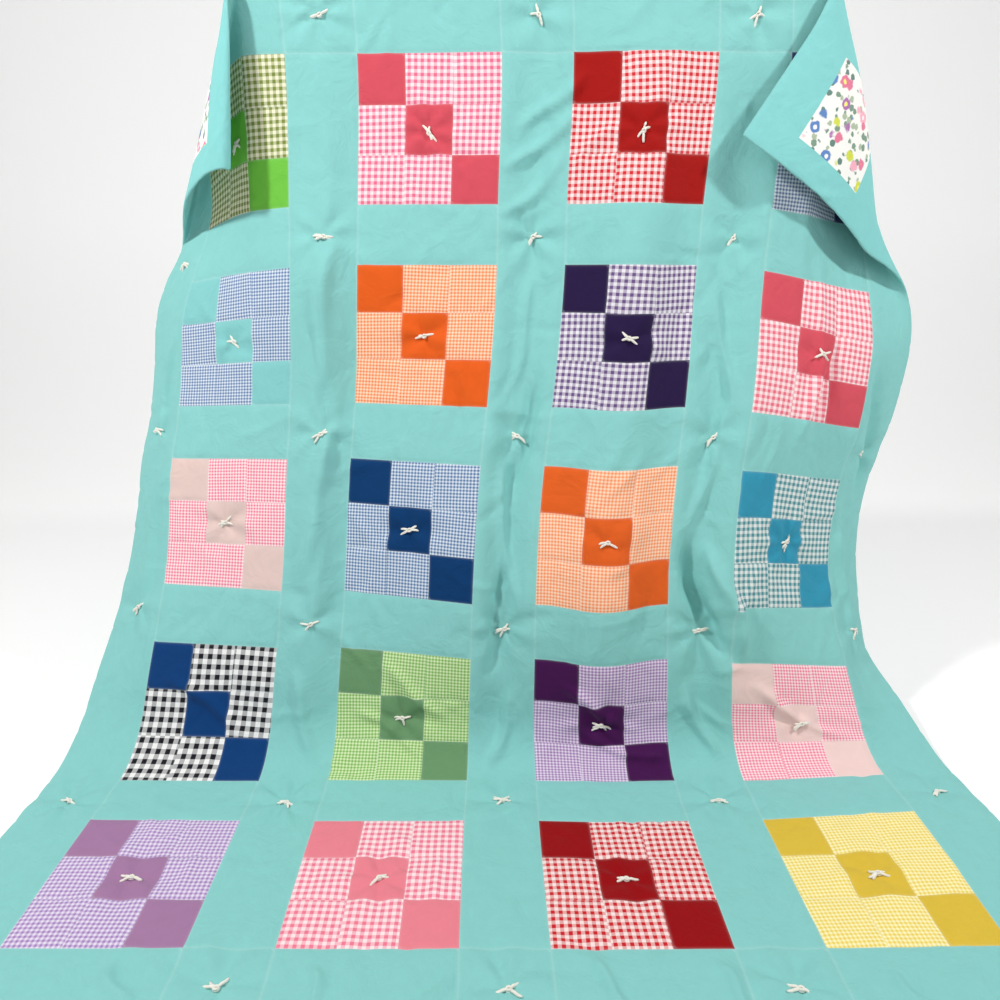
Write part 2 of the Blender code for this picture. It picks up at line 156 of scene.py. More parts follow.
# Creases, listed one by one: from (s, t) to (s, t) in blocks, width in blocks, height in metres.
CREASES = (
    # diagonal wrinkles beside and in the middle strip of the top row
    (0.34, 0.62, -0.10, 1.02, 0.050, 0.0055),
    (0.30, 0.86, -0.20, 1.30, 0.045, 0.0060),
    (0.24, 1.18, -0.24, 1.62, 0.050, 0.0050),
    (0.52, 0.95, 0.30, 1.30, 0.045, 0.0035),
    # long folds of the strip between the first two columns
    (-1.42, 1.70, -1.56, 2.90, 0.060, 0.0060),
    (-1.62, 2.10, -1.38, 3.20, 0.055, -0.0055),
    (-1.36, 2.95, -1.60, 4.20, 0.060, 0.0060),
    # middle strip, rows two to four
    (0.06, 1.95, -0.10, 2.80, 0.055, 0.0050),
    (0.16, 2.70, -0.04, 3.60, 0.060, -0.0070),
    (-0.12, 3.30, 0.10, 4.40, 0.060, 0.0065),
    (0.02, 4.10, -0.14, 4.90, 0.060, -0.0060),
    # strip between the last two columns, with its deep fold low down
    (1.40, 2.00, 1.62, 3.00, 0.060, 0.0055),
    (1.62, 2.90, 1.38, 3.80, 0.055, 0.0060),
    (1.36, 3.86, 1.66, 4.72, 0.075, -0.0150),
    (1.58, 3.90, 1.86, 4.70, 0.065, 0.0110),
    # upright crease down the second block of the last column
    (2.27, 1.80, 2.22, 3.10, 0.055, 0.0085),
    (2.42, 1.95, 2.36, 3.00, 0.070, -0.0070),
    # block and border wrinkles
    (-2.60, 2.00, -2.30, 2.60, 0.045, 0.0035),
    (-2.86, 2.30, -3.02, 3.30, 0.060, 0.0070),
    (-2.84, 3.40, -3.02, 4.60, 0.060, 0.0060),
    (2.90, 2.40, 3.04, 3.50, 0.070, -0.0080),
    (2.86, 3.60, 2.98, 4.70, 0.070, 0.0080),
    (-0.95, 4.86, -0.40, 5.22, 0.050, 0.0045),
    (-1.10, 5.20, -0.55, 5.52, 0.045, 0.0050),
    (0.42, 4.95, 1.05, 5.30, 0.050, 0.0045),
    (0.55, 5.30, 1.20, 5.58, 0.045, 0.0050),
    (1.90, 4.95, 2.60, 5.40, 0.055, 0.0060),
    (-2.60, 4.95, -1.95, 5.40, 0.050, 0.0050),
    (-1.62, 4.90, -1.36, 5.60, 0.050, 0.0050),
    (0.14, 5.00, -0.12, 5.66, 0.050, 0.0060),
    (1.38, 4.96, 1.60, 5.60, 0.050, 0.0060),
    # short creases in the foot border
    (0.42, 7.24, 0.66, 7.56, 0.035, 0.0050),
    (-0.30, 7.30, -0.42, 7.58, 0.030, 0.0040),
    (-1.05, 7.28, -0.92, 7.58, 0.035, 0.0040),
    (1.10, 7.26, 1.26, 7.58, 0.035, 0.0045),
    (-2.10, 7.26, -1.90, 7.56, 0.040, 0.0045),
    (2.00, 7.30, 2.16, 7.58, 0.035, 0.0040),
)


# ---------------------------------------------------------------- the drape
def ease(x):
    x = np.clip(x, 0.0, 1.0)
    return x * x * (3.0 - 2.0 * x)


def smooth_table(rows, column, x):
    """One column of a table at x, on a smooth curve through its rows."""
    keys = np.array([row[0] for row in rows], float)
    values = np.array([row[column] for row in rows], float)
    x = np.clip(np.asarray(x, float), keys[0], keys[-1])
    i = np.clip(np.searchsorted(keys, x, side="right") - 1, 0, len(keys) - 2)
    u = (x - keys[i]) / (keys[i + 1] - keys[i])
    slopes = np.gradient(values, keys)
    h = keys[i + 1] - keys[i]
    a, b = values[i], values[i + 1]
    return (
        a * (1 + 2 * u) * (1 - u) ** 2
        + b * u * u * (3 - 2 * u)
        + h * u * (1 - u) ** 2 * slopes[i]
        - h * u * u * (1 - u) * slopes[i + 1]
    )


def zone_edges():
    """Where the borders, blocks and upright strips begin and end, in s."""
    widths = [BORDER] + [BLOCK, SASH] * (COLUMNS - 1) + [BLOCK, BORDER]
    return np.concatenate([[0.0], np.cumsum(widths)]) / BLOCK - HALF


def turn(s, t):
    """Direction of a level section of the cloth, in radians. It is 0 where it runs straight across."""
    edges = zone_edges()
    angle = np.zeros(np.broadcast(s, t).shape)
    names = SECTION_COLUMNS[2:]
    blend = 0.10
    for k, name in enumerate(names):
        lo, hi = edges[k], edges[k + 1]
        inside = ease((s - lo) / blend + 0.5) * ease((hi - s) / blend + 0.5)
        if k == 0:
            inside = ease((hi - s) / blend + 0.5)
        if k == len(names) - 1:
            inside = ease((s - lo) / blend + 0.5)
        degrees = smooth_table(SECTIONS, k + 2, t)
        if name.startswith("fold"):
            u = np.clip((s - lo) / (hi - lo), 0.0, 1.0)
            part = FOLD_SIGNS[name] * degrees * np.sin(2 * math.pi * u)
            inside = 1.0
        else:
            part = degrees * (1.0 if (lo + hi) > 0 else -1.0)
        angle = angle + np.radians(part) * inside
    return angle


class Chart:
    """The hanging cloth before its corners fall, tabled on an even grid of (s, t)."""

    def __init__(self):
        self.s = np.arange(-HALF, HALF + STEP / 2, STEP)
        self.t = np.arange(0.0, LENGTH + 2 * STEP, STEP)
        slope = np.radians(np.minimum(smooth_table(PROFILE, 1, self.t), 90.0))
        y = -np.concatenate([[0.0], np.cumsum(np.sin(slope[:-1]) * STEP)])
        z = -np.concatenate([[0.0], np.cumsum(np.cos(slope[:-1]) * STEP)])
        self.floor = z.min()
        s, t = np.meshgrid(self.s, self.t, indexing="ij")
        angle = turn(s, t)
        middle = (angle[1:] + angle[:-1]) / 2
        x_run = np.concatenate([np.zeros((1, len(self.t))), np.cumsum(np.cos(middle), 0)]) * STEP
        y_run = np.concatenate([np.zeros((1, len(self.t))), np.cumsum(np.sin(middle), 0)]) * STEP
        centre = int(np.argmin(np.abs(self.s)))
        x = x_run - x_run[centre] + smooth_table(SECTIONS, 1, self.t)
        y = y_run - y_run[centre] + y
        drop = np.where(s < 0, smooth_table(DROPS, 1, t), smooth_table(DROPS, 2, t))
        z = z - drop * ease((np.abs(s) - DROP_START) / (HALF - DROP_START))
        self.points = np.stack([x, y, np.maximum(z, self.floor)], axis=-1)

    def __call__(self, s, t):
        i = np.clip((s - self.s[0]) / STEP, 0, len(self.s) - 1.0001)
        j = np.clip((t - self.t[0]) / STEP, 0, len(self.t) - 1.0001)
        m, n = i.astype(int), j.astype(int)
        u, v = (i - m)[..., None], (j - n)[..., None]
        p = self.points
        return (
            p[m, n] * (1 - u) * (1 - v)
            + p[m + 1, n] * u * (1 - v)
            + p[m, n + 1] * (1 - u) * v
            + p[m + 1, n + 1] * u * v
        )


sheet = Chart()


def corner_direction(table, side, angle):
    """Ray of a fallen corner's cone, for an angle on the flat cloth: 0 is down and 90 is outward."""
    dense = np.linspace(0.0, 90.0, 361)
    path = np.stack([smooth_table(table, k, dense) for k in (1, 2, 3)], axis=-1)
    path[:, 0] *= side
    path /= np.linalg.norm(path, axis=1, keepdims=True)
    paces = np.concatenate([[0.0], np.cumsum(np.linalg.norm(np.diff(path, axis=0), axis=1))])
    paces *= dense[-1] / paces[-1]
    return np.stack([np.interp(angle, paces, path[:, k]) for k in range(3)], axis=-1)


def drape(s, t):
    """Places on the hanging cloth, in blocks, with its top corners fallen forward."""
    s, t = np.broadcast_arrays(np.asarray(s, float), np.asarray(t, float))
    place = sheet(s, t)
    for side, table in ((-1.0, CORNER_LEFT), (1.0, CORNER_RIGHT)):
        out = side * s - APEX
        away = np.hypot(np.maximum(out, 0.0), t)
        angle = np.degrees(np.arctan2(np.maximum(out, 0.0), np.maximum(t, 1e-9)))
        way = corner_direction(table, side, angle)
        down = corner_direction(table, side, np.zeros_like(angle))
        fallen = sheet(np.full_like(s, side * APEX), t) + way * away[..., None] - down * t[..., None]
        rolled = np.sin(np.radians(angle)) ** 2
        fallen[..., 1] -= CORNER_SWELL * rolled * ease(away / 0.10)
        fallen[..., 2] -= CORNER_SAG * rolled * ease(away / 0.40)
        keep = 1.0 - ease((t - CORNER_BLEND[0]) / (CORNER_BLEND[1] - CORNER_BLEND[0]))
        keep = np.where(out > 0.0, keep, 0.0)[..., None]
        place = place * (1.0 - keep) + fallen * keep
    return place


def unit(v):
    return v / np.maximum(np.linalg.norm(v, axis=-1, keepdims=True), 1e-12)


def grid_normals(p):
    """Front normals of a grid of points, from its own neighbours."""
    across, down = np.zeros_like(p), np.zeros_like(p)
    across[1:-1], across[0], across[-1] = p[2:] - p[:-2], p[1] - p[0], p[-1] - p[-2]
    down[:, 1:-1], down[:, 0], down[:, -1] = p[:, 2:] - p[:, :-2], p[:, 1] - p[:, 0], p[:, -1] - p[:, -2]
    return unit(np.cross(down, across))


def blur(values, rounds):
    """Averages a grid with its four neighbours, so many times over."""
    for _ in range(rounds):
        pad = np.pad(values, [(1, 1), (1, 1)] + [(0, 0)] * (values.ndim - 2), mode="edge")
        values = (pad[:-2, 1:-1] + pad[2:, 1:-1] + pad[1:-1, :-2] + pad[1:-1, 2:] + 4 * values) / 8
    return values


# ---------------------------------------------------------------- layout
def cell_lines():
    """Grid lines across and down. Every seam of the patchwork falls on a line."""
    def run(start, zones):
        lines, seams = [start], [start]
        for width, cells in zones:
            lines += [lines[-1] + width / cells * (k + 1) for k in range(cells)]
            lines[-1] = seams[-1] + width
            seams.append(lines[-1])
        return np.array(lines), np.array(seams)

    patch = (1.0 / 3, PATCH_CELLS)
    border = (BORDER / BLOCK, SASH_CELLS)
    sash, sash_h = (SASH / BLOCK, SASH_CELLS), (SASH_H / BLOCK, SASH_H_CELLS)
    across = [border] + ([patch] * 3 + [sash]) * (COLUMNS - 1) + [patch] * 3 + [border]
    down = [border] + ([patch] * 3 + [sash_h]) * (ROWS - 1) + [patch] * 3
    down += [(FOOT_BORDER / BLOCK, FOOT_CELLS)]
    return run(-HALF, across), run(0.0, down)


def patch_of(s, t):
    """(block number, patch row, patch column), or None on the ground."""
    edges = zone_edges()
    column = int(np.searchsorted(edges, s)) - 1
    if column % 2 == 0:
        return None
    pitch = (BLOCK + SASH_H) / BLOCK
    row = int((t - BORDER / BLOCK) // pitch)
    inside = (t - BORDER / BLOCK) - row * pitch
    if row < 0 or row >= ROWS or inside > 1.0:
        return None
    return row * COLUMNS + column // 2, min(2, int(inside * 3)), min(2, int((s - edges[column]) * 3))


UNTIED = ((0, 3), (3, 0))  # blocks with no tie, as (column, row)
FOLDED_IN = ((0, 0), (4, 0), (4, 1))  # crossings inside the fallen corners, as (strip, row)


def tie_spots():
    """Ties at the middle of blocks, and where strips cross or meet a border."""
    edges = zone_edges()
    middles = [(edges[k] + edges[k + 1]) / 2 for k in range(len(edges) - 1)]
    pitch = (BLOCK + SASH_H) / BLOCK
    border = BORDER / BLOCK
    spots = []
    for c, s in enumerate(middles[1::2]):
        for r in range(ROWS):
            if (c, r) not in UNTIED:
                spots.append((s, border + 0.5 + r * pitch))
    for c, s in enumerate(middles[0::2]):
        for r in range(ROWS + 1):
            t = border + r * pitch - SASH_H / BLOCK / 2
            t = border / 2 if r == 0 else LENGTH - FOOT_BORDER / BLOCK / 2 if r == ROWS else t
            if (c, r) not in FOLDED_IN:
                spots.append((s, t))
    return spots


TIES = tie_spots()
(ACROSS, SEAMS_ACROSS), (DOWN, SEAMS_DOWN) = cell_lines()
S, T = np.meshgrid(ACROSS, DOWN, indexing="ij")
random = np.random.default_rng(SEED)


def pucker(s, t):
    """Dimples and radial tucks round the ties, in metres, and how near the nearest tie is."""
    height, near = np.zeros_like(s), np.zeros_like(s)
    for ts, tt in TIES:
        ds, dt = s - ts, t - tt
        r = np.hypot(ds, dt)
        around = np.arctan2(dt, ds)
        lobes = random.integers(4, 7)
        phase, lean, size = random.uniform(0, 6.28), random.uniform(-0.5, 0.5), random.uniform(0.75, 1.2)
        rays = np.cos(lobes * around + phase + lean * np.sin(around * 2 + phase))
        reach = np.exp(-((r - 0.13) / 0.15) ** 2) * ease(r / 0.05)
        height += size * PUCKER_HEIGHT * rays * reach
        near = np.maximum(near, np.exp(-((r / 0.10) ** 2)))
    return height, near


def creases(s, t):
    """Height of the creases of the table, each one slightly bowed and fading at its ends."""
    height = np.zeros_like(s)
    for s0, t0, s1, t1, width, rise in CREASES:
        ds, dt = s1 - s0, t1 - t0
        length = math.hypot(ds, dt)
        along = ((s - s0) * ds + (t - t0) * dt) / length**2
        side = ((s - s0) * dt - (t - t0) * ds) / length
        bow = 0.035 * np.sin(np.clip(along, 0, 1) * math.pi * 1.7 + s0 * 9)
        fade = ease(along / 0.35 + 0.25) * ease((1 - along) / 0.35 + 0.25)
        height += CREASE_GAIN * rise * np.exp(-(((side + bow) / (0.8 * width)) ** 2)) * fade
    return height


def small_wrinkles(s, t):
    """Many short faint wrinkles, spread evenly. They lie level at the bend and are lower on the floor."""
    height = np.zeros_like(s)
    for _ in range(WRINKLES):
        cs, ct = random.uniform(-HALF, HALF), random.uniform(0.0, LENGTH)
        lean = random.normal(0.35, 0.75) + (math.pi / 2 if 4.9 < ct < 5.9 else 0.0)
        length, width = random.uniform(0.08, 0.28), random.uniform(0.020, 0.045)
        rise = random.uniform(0.0013, 0.0040) * (1 if random.random() < 0.6 else -1)
        if ct > 5.9:
            rise *= 0.7
            lean = random.uniform(0, math.pi)
        near = (np.abs(s - cs) < 0.6) & (np.abs(t - ct) < 0.6)
        ds, dt = s[near] - cs, t[near] - ct
        along = ds * -math.sin(lean) + dt * math.cos(lean)
        side = ds * math.cos(lean) + dt * math.sin(lean) + 0.4 * along**2
        height[near] += rise * np.exp(-((along / length) ** 2) - (side / width) ** 2)
    return height


def seam_depth(s, t):
    """1 on a seam line of the patchwork, falling to a third within about 5 mm."""
    lines_s = np.exp(-((s[..., None] - SEAMS_ACROSS[1:-1]) / SEAM_WIDTH) ** 2)
    lines_t = np.exp(-((t[..., None] - SEAMS_DOWN[1:-1]) / SEAM_WIDTH) ** 2)
    edges = zone_edges()
    column = np.searchsorted(edges, s[:, 0]) - 1
    in_column = (column % 2 == 1)[:, None]
    whole_s = np.isin(np.round(SEAMS_ACROSS[1:-1], 6), np.round(edges, 6))
    pitch = (BLOCK + SASH_H) / BLOCK
    inside_block = ((t - BORDER / BLOCK) % pitch < 1.0) & (t > BORDER / BLOCK)
    across = np.where(whole_s, lines_s, lines_s * (inside_block & in_column)[..., None]).max(-1)
    down = (lines_t * in_column[..., None]).max(-1)
    ends = np.maximum(lines_t[..., 0], lines_t[..., -1])
    return np.maximum(np.maximum(across, down), ends)


def loft(s, t, near):
    """Half the quilt's thickness, which is less at its edge, at ties and in the fallen corners."""
    inward = np.minimum(np.minimum(HALF - np.abs(s), t), LENGTH - t) * BLOCK
    full = EDGE_PUFF + (PUFF - EDGE_PUFF) * np.sqrt(ease(inward / PUFF_FADE))
    fallen = ease((np.abs(s) - APEX + 0.1) / 0.2) * (1.0 - ease((t - CORNER_BLEND[0]) / 1.0))
    full = full + (np.minimum(full, FOLD_PUFF) - full) * fallen
    return full * (1.0 - 0.72 * near)


# The fallen corners, where soft is 1, are smoothed and have weaker wrinkles.
base = drape(S, T) * BLOCK
soft = ease((np.abs(S) - APEX + 0.1) / 0.1) * (1.0 - ease((T - 2.2) / 0.4))
smooth = base + (blur(base, 10) - base) * (0.8 * soft[..., None])
normal = unit(blur(grid_normals(blur(smooth, 2)), 3))
PUCKER, NEAR = pucker(S, T)
SEAM = seam_depth(S, T)
calm = 1.0 - 0.6 * soft
shift = (creases(S, T) + small_wrinkles(S, T)) * calm
swell = np.sin(S * 2.3 + 0.6) * np.cos(T * 2.9 + S) * 0.0022
on_floor = ease((T - 5.7) / 0.4)
shift = shift + swell * (1 - on_floor) * calm
middle = smooth + normal * shift[..., None]
half = loft(S, T, NEAR)
front = middle + normal * (half + PUCKER * calm - SEAM_DEPTH * SEAM * (1 - NEAR))[..., None]
back = middle - normal * (half * 0.9 + 0.3 * PUCKER * calm)[..., None]
lift = LOWEST + FLOOR_GAP
back[..., 2] = np.maximum(back[..., 2], lift)
front[..., 2] = np.maximum(front[..., 2], lift + 0.004)


# ---------------------------------------------------------------- materials
THREAD = 0.0009  # metres from one thread of the weave to the next


def linear(colour):
    return tuple(((c / 255 + 0.055) / 1.055) ** 2.4 if c > 10 else c / 255 / 12.92 for c in colour) + (1.0,)


class Nodes:
    def __init__(self, tree):
        self.nodes, self.links = tree.nodes, tree.links

    def add(self, kind, **settings):
        node = self.nodes.new(kind)
        for key, value in settings.items():
            if key.startswith("in_"):
                node.inputs[key[3:].replace("_", " ")].default_value = value
            else:
                setattr(node, key, value)
        return node

    def join(self, out, into):
        self.links.new(out, into)

    def maths(self, operation, a, b=None, c=None):
        node = self.nodes.new("ShaderNodeMath")
        node.operation = operation
        for k, value in enumerate((a, b, c)):
            if value is None:
                continue
            if isinstance(value, (int, float)):
                node.inputs[k].default_value = value
            else:
                self.join(value, node.inputs[k])
        return node.outputs[0]

    def mix(self, factor, a, b, blend="MIX"):
        node = self.nodes.new("ShaderNodeMix")
        node.data_type, node.blend_type = "RGBA", blend
        for socket, value in ((node.inputs[0], factor), (node.inputs[6], a), (node.inputs[7], b)):
            if isinstance(value, (int, float, tuple)):
                socket.default_value = value
            else:
                self.join(value, socket)
        return node.outputs[2]


def cloth_group(name, kind):
    """A shader group for plain or checked cotton. UV is the flat cloth in metres."""
    tree = bpy.data.node_groups.new(name, "ShaderNodeTree")
    face = tree.interface
    face.new_socket(name="Colour", in_out="INPUT", socket_type="NodeSocketColor")
    face.new_socket(name="Ground", in_out="INPUT", socket_type="NodeSocketColor")
    face.new_socket(name="Pitch", in_out="INPUT", socket_type="NodeSocketFloat")
    face.new_socket(name="Shader", in_out="OUTPUT", socket_type="NodeSocketShader")
    n = Nodes(tree)
    enter, leave = n.add("NodeGroupInput"), n.add("NodeGroupOutput")
    uv = n.add("ShaderNodeUVMap", uv_map="flat")
    where = n.add("ShaderNodeSeparateXYZ")
    n.join(uv.outputs[0], where.inputs[0])
    x, y = where.outputs[0], where.outputs[1]
    if kind == "check":
        stripes = []
        for axis in (x, y):
            phase = n.maths("FRACT", n.maths("DIVIDE", axis, enter.outputs["Pitch"]))
            edge = n.maths("ABSOLUTE", n.maths("SUBTRACT", phase, 0.5))
            step = n.nodes.new("ShaderNodeMapRange")
            step.interpolation_type = "SMOOTHSTEP"
            step.inputs["From Min"].default_value = 0.235
            step.inputs["From Max"].default_value = 0.265
            n.join(edge, step.inputs["Value"])
            stripes.append(step.outputs[0])
        amount = n.maths("MULTIPLY", n.maths("ADD", stripes[0], stripes[1]), 0.5)
        colour = n.mix(amount, enter.outputs["Ground"], enter.outputs["Colour"])
    else:
        colour = enter.outputs["Colour"]
    mottle = n.add("ShaderNodeTexNoise", in_Scale=38.0, in_Detail=4.0, in_Roughness=0.6)
    n.join(uv.outputs[0], mottle.inputs["Vector"])
    fade = n.maths("MULTIPLY_ADD", mottle.outputs[0], 0.10, 0.95)
    colour = n.mix(1.0, colour, grey_of(n, fade), "MULTIPLY")
    seam = n.add("ShaderNodeAttribute", attribute_name="seam")
    # Painted highlight: the seam lines are tinted paler, standing in for light catching the pressed seams.
    seam_highlight = n.maths("MULTIPLY", n.maths("POWER", seam.outputs["Fac"], 4.0), 0.12)
    colour = n.mix(seam_highlight, colour, (0.80, 0.86, 0.86, 1.0))
    threads = [n.maths("SINE", n.maths("MULTIPLY", axis, 2 * math.pi / THREAD)) for axis in (x, y)]
    weave = n.maths("MULTIPLY", threads[0], threads[1])
    slub = n.add("ShaderNodeTexNoise", in_Scale=420.0, in_Detail=2.0)
    n.join(uv.outputs[0], slub.inputs["Vector"])
    rough = n.maths("ADD", n.maths("MULTIPLY", weave, 0.25), slub.outputs[0])
    crumple = n.add("ShaderNodeTexNoise", in_Scale=16.0, in_Detail=5.0, in_Roughness=0.55,
                    in_Distortion=0.8)
    n.join(uv.outputs[0], crumple.inputs["Vector"])
    fine = n.add("ShaderNodeBump", in_Strength=0.35, in_Distance=0.0004)
    n.join(rough, fine.inputs["Height"])
    ditch = n.add("ShaderNodeBump", in_Strength=0.5, in_Distance=0.0012, invert=True)
    n.join(seam.outputs["Fac"], ditch.inputs["Height"])
    n.join(fine.outputs[0], ditch.inputs["Normal"])
    broad = n.add("ShaderNodeBump", in_Strength=0.8, in_Distance=0.006)
    n.join(crumple.outputs[0], broad.inputs["Height"])
    n.join(ditch.outputs[0], broad.inputs["Normal"])
    shader = n.add("ShaderNodeBsdfPrincipled")
    n.join(colour, shader.inputs["Base Color"])
    n.join(broad.outputs[0], shader.inputs["Normal"])
    shader.inputs["Roughness"].default_value = 0.88
    shader.inputs["Sheen Weight"].default_value = 0.06
    shader.inputs["Sheen Roughness"].default_value = 0.5
    shader.inputs["Specular IOR Level"].default_value = 0.15
    n.join(shader.outputs[0], leave.inputs[0])
    return tree


def grey_of(n, value):
    """A grey colour from one value."""
    mixed = n.nodes.new("ShaderNodeCombineColor")
    for k in range(3):
        n.join(value, mixed.inputs[k])
    return mixed.outputs[0]


def material_of(name, group):
    """A material that holds one shader group, and the group's node."""
    material = bpy.data.materials.new(name)
    material.use_nodes = True
    tree = material.node_tree
    tree.nodes.clear()
    node = tree.nodes.new("ShaderNodeGroup")
    node.node_tree = group
    out = tree.nodes.new("ShaderNodeOutputMaterial")
    tree.links.new(node.outputs[0], out.inputs[0])
    return material, node


def cloth_material(name, group, colour, ground=(255, 255, 255), pitch=0.01):
    material, node = material_of(name, group)
    node.inputs["Colour"].default_value = linear(colour)
    node.inputs["Ground"].default_value = linear(ground)
    node.inputs["Pitch"].default_value = pitch
    return material


PLAIN, CHECK = cloth_group("plain_cotton", "plain"), cloth_group("checked_cotton", "check")


def floral_group():
    """Round blossoms and dots scattered on white, by cells of two sizes."""
    tree = bpy.data.node_groups.new("flower_print", "ShaderNodeTree")
    tree.interface.new_socket(name="Shader", in_out="OUTPUT", socket_type="NodeSocketShader")
    n = Nodes(tree)
    leave = n.add("NodeGroupOutput")
    uv = n.add("ShaderNodeUVMap", uv_map="flat")
    colour = linear((240, 240, 236))
    for scale, sizes, ramp in (
        (62.0, (0.36, 0.42), ((0.0, (120, 150, 130)), (0.35, (170, 185, 160)), (0.7, (96, 130, 120)))),
        (36.0, (0.33, 0.41), ((0.0, (222, 120, 150)), (0.25, (170, 110, 170)), (0.45, (206, 214, 70)),
                              (0.62, (90, 130, 190)), (0.8, (240, 170, 190)))),
        (36.0, (0.12, 0.15), ((0.0, (250, 235, 120)), (0.5, (180, 60, 90)), (0.75, (240, 240, 240)))),
    ):
        cells = n.add("ShaderNodeTexVoronoi", in_Scale=scale, in_Randomness=0.85)
        wobble = n.add("ShaderNodeTexNoise", in_Scale=scale * 3, in_Detail=1.0)
        n.join(uv.outputs[0], wobble.inputs["Vector"])
        n.join(uv.outputs[0], cells.inputs["Vector"])
        near = n.maths("MULTIPLY_ADD", wobble.outputs[0], 0.28, n.maths("SUBTRACT", cells.outputs[0], 0.14))
        inside = n.nodes.new("ShaderNodeMapRange")
        inside.inputs["From Min"].default_value, inside.inputs["From Max"].default_value = sizes[1], sizes[0]
        n.join(near, inside.inputs["Value"])
        pick = n.nodes.new("ShaderNodeValToRGB")
        pick.color_ramp.interpolation = "CONSTANT"
        elements = pick.color_ramp.elements
        elements[0].position, elements[0].color = ramp[0][0], linear(ramp[0][1])
        elements[1].position, elements[1].color = ramp[1][0], linear(ramp[1][1])
        for position, value in ramp[2:]:
            elements.new(position).color = linear(value)
        one = n.nodes.new("ShaderNodeSeparateColor")
        n.join(cells.outputs["Color"], one.inputs[0])
        n.join(one.outputs[0], pick.inputs[0])
        colour = n.mix(inside.outputs[0], colour, pick.outputs[0])
    slub = n.add("ShaderNodeTexNoise", in_Scale=420.0, in_Detail=2.0)
    n.join(uv.outputs[0], slub.inputs["Vector"])
    fine = n.add("ShaderNodeBump", in_Strength=0.3, in_Distance=0.0004)
    n.join(slub.outputs[0], fine.inputs["Height"])
    shader = n.add("ShaderNodeBsdfPrincipled")
    n.join(colour, shader.inputs["Base Color"])
    n.join(fine.outputs[0], shader.inputs["Normal"])
    shader.inputs["Roughness"].default_value = 0.88
    shader.inputs["Sheen Weight"].default_value = 0.06
    n.join(shader.outputs[0], leave.inputs[0])
    return tree


def principled(name, colour, roughness, metallic=0.0, bump=0.0, scale=900.0):
    material = bpy.data.materials.new(name)
    material.use_nodes = True
    n = Nodes(material.node_tree)
    shader = n.nodes["Principled BSDF"]
    shader.inputs["Metallic"].default_value = metallic
    noise = n.add("ShaderNodeTexNoise", in_Scale=scale, in_Detail=3.0)
    where = n.add("ShaderNodeTexCoord")
    n.join(where.outputs["Object"], noise.inputs["Vector"])
    tone = n.mix(noise.outputs[0], tuple(0.86 * c for c in linear(colour)[:3]) + (1.0,), linear(colour))
    n.join(tone, shader.inputs["Base Color"])
    rough = n.maths("MULTIPLY_ADD", noise.outputs[0], 0.12, roughness - 0.06)
    n.join(rough, shader.inputs["Roughness"])
    if bump:
        node = n.add("ShaderNodeBump", in_Strength=0.5, in_Distance=bump)
        n.join(noise.outputs[0], node.inputs["Height"])
        n.join(node.outputs[0], shader.inputs["Normal"])
    return material


# ---------------------------------------------------------------- cloth meshes
def object_of(name, mesh):
    """Turns a finished bmesh into a smooth object in the scene."""
    data = bpy.data.meshes.new(name)
    mesh.to_mesh(data)
    mesh.free()
    data.shade_smooth()
    thing = bpy.data.objects.new(name, data)
    bpy.context.collection.objects.link(thing)
    return thing


def grid_faces(rows, cols, flip):
    """Quads of a grid of points, facing the viewer unless flipped."""
    index = np.arange(rows * cols).reshape(rows, cols)
    a, b, c, d = index[:-1, :-1], index[:-1, 1:], index[1:, 1:], index[1:, :-1]
    quads = np.stack([a, b, c, d], axis=-1).reshape(-1, 4)
    return quads[:, ::-1] if flip else quads


def mesh_from(name, points, faces):
    data = bpy.data.meshes.new(name)
    data.from_pydata(points.reshape(-1, 3).tolist(), [], faces.tolist())
    thing = bpy.data.objects.new(name, data)
    bpy.context.collection.objects.link(thing)
    data.shade_smooth()
    return thing


def dress(thing, slots, which, turns, seam):
    """Gives each cell its material, its flat UV in metres, turned a little per patch, and its seams."""
    data = thing.data
    for material in slots:
        data.materials.append(material)
    data.polygons.foreach_set("material_index", which.astype(np.int32))
    corners = np.empty(len(data.loops), np.int32)
    data.loops.foreach_get("vertex_index", corners)
    flat = np.stack([S.reshape(-1), T.reshape(-1)], axis=-1)[corners] * BLOCK
    angle, off_x, off_y = (np.repeat(turns[:, k], 4) for k in range(3))
    u = flat[:, 0] * np.cos(angle) - flat[:, 1] * np.sin(angle) + off_x
    v = flat[:, 0] * np.sin(angle) + flat[:, 1] * np.cos(angle) + off_y
    layer = data.uv_layers.new(name="flat")
    layer.data.foreach_set("uv", np.stack([u, v], axis=-1).astype(np.float32).reshape(-1))
    attribute = data.attributes.new("seam", "FLOAT", "POINT")
    attribute.data.foreach_set("value", seam.reshape(-1).astype(np.float32))


rows, cols = S.shape
cell_s = (S[:-1, :-1] + S[1:, 1:]) / 2
cell_t = (T[:-1, :-1] + T[1:, 1:]) / 2
slots = [cloth_material("ground_turquoise", PLAIN, GROUND)]
for name, patch, check, ground, pitch in BLOCKS:
    slots.append(cloth_material(f"{name}_patch", PLAIN, patch))
    slots.append(cloth_material(f"{name}_check", CHECK, check, ground, pitch / 1000))

turn_of = {}
which = np.zeros(cell_s.size, int)
turns = np.zeros((cell_s.size, 3))
for k, (s, t) in enumerate(zip(cell_s.reshape(-1), cell_t.reshape(-1))):
    patch = patch_of(s, t)
    if patch is not None:
        block, r, c = patch
        which[k] = 1 + 2 * block + (0 if r == c else 1)
    if patch not in turn_of:
        turn_of[patch] = (
            (random.normal(0, 0.02), random.uniform(0, 1), random.uniform(0, 1)) if patch else (0, 0, 0)
        )
    turns[k] = turn_of[patch]

quilt_front = mesh_from("quilt_front", front, grid_faces(rows, cols, False))
dress(quilt_front, slots, which, turns, SEAM * (1 - NEAR))

